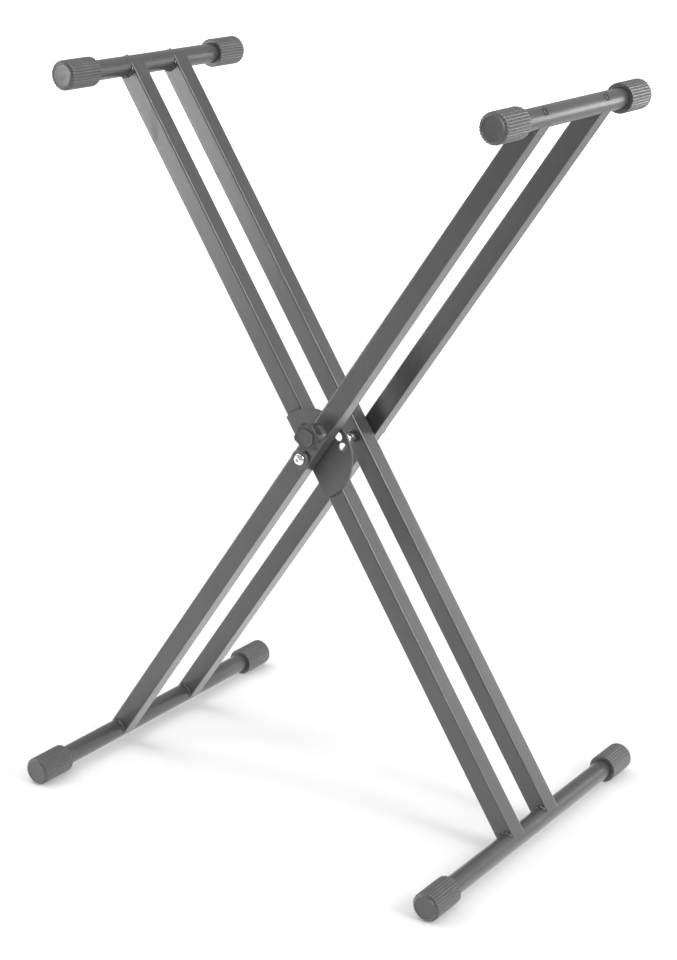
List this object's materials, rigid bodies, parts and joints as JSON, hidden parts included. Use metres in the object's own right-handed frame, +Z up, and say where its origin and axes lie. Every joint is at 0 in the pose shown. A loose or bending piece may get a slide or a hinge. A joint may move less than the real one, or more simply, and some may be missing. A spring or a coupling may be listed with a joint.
{
  "type": "folding keyboard stand",
  "caption": "Double-braced X-shaped folding stand of square tube legs and round crossbars with ribbed rubber caps, a pivot, and a star-knob pull pin that locks its height.",
  "frame": {"origin": "on the floor, midway between the two feet and straight below the pivot axis", "axes": "+Z up, +X to the right as the keyboard lies, +Y away from the side with the lock knob, along the crossbars"},
  "size_m": [0.6302, 0.5012, 0.9277],
  "materials": {
    "frame_coat": "charcoal powder coat, satin",
    "cap_rubber": "moulded dark grey rubber, matt",
    "black_plastic": "black moulded nylon, satin",
    "bright_chrome": "bright nickel-chrome plate",
    "zinc_plate": "bright zinc plate",
    "spring_steel": "drawn spring steel wire"
  },
  "bodies": {
    "outer_frame": {"front_outer_leg": "frame_coat", "rear_outer_leg": "frame_coat", "right_top_bar": "frame_coat", "left_foot_bar": "frame_coat", "right_top_cap_front": "cap_rubber", "right_top_cap_rear": "cap_rubber", "left_foot_cap_front": "cap_rubber", "left_foot_cap_rear": "cap_rubber", "right_top_screw_front": "frame_coat", "right_top_screw_rear": "frame_coat", "front_pivot_bolt": "bright_chrome", "rear_pivot_bolt": "bright_chrome", "front_pivot_cup": "black_plastic", "rear_pivot_cup": "black_plastic", "front_pivot_nut": "zinc_plate", "rear_pivot_nut": "zinc_plate", "lock_housing": "zinc_plate", "lock_collar_nut": "zinc_plate"},
    "inner_frame": {"front_inner_leg": "frame_coat", "rear_inner_leg": "frame_coat", "left_top_bar": "frame_coat", "right_foot_bar": "frame_coat", "left_top_cap_front": "cap_rubber", "left_top_cap_rear": "cap_rubber", "right_foot_cap_front": "cap_rubber", "right_foot_cap_rear": "cap_rubber", "left_top_screw_front": "frame_coat", "left_top_screw_rear": "frame_coat", "lock_plate": "frame_coat", "front_running_washer": "black_plastic", "rear_leg_spacer": "black_plastic", "front_nut_washer": "zinc_plate", "rear_nut_washer": "zinc_plate"},
    "lock_plunger": {"lock_pin": "zinc_plate", "lock_spring": "spring_steel", "lock_knob": "black_plastic"}
  },
  "joints": [
    {"name": "fold", "type": "hinge", "parent": "outer_frame", "child": "inner_frame", "pos_m": [0, 0, 0.46387], "axis": [0, 1, 0], "range_deg": [-36, 63.2]},
    {"name": "lock_pull", "type": "slide", "parent": "outer_frame", "child": "lock_plunger", "axis": [0, -1, 0], "range_m": [0, 0.008], "stiffness_N_per_m": 1900, "springref_m": -0.005, "deforming": ["lock_spring"]}
  ]
}
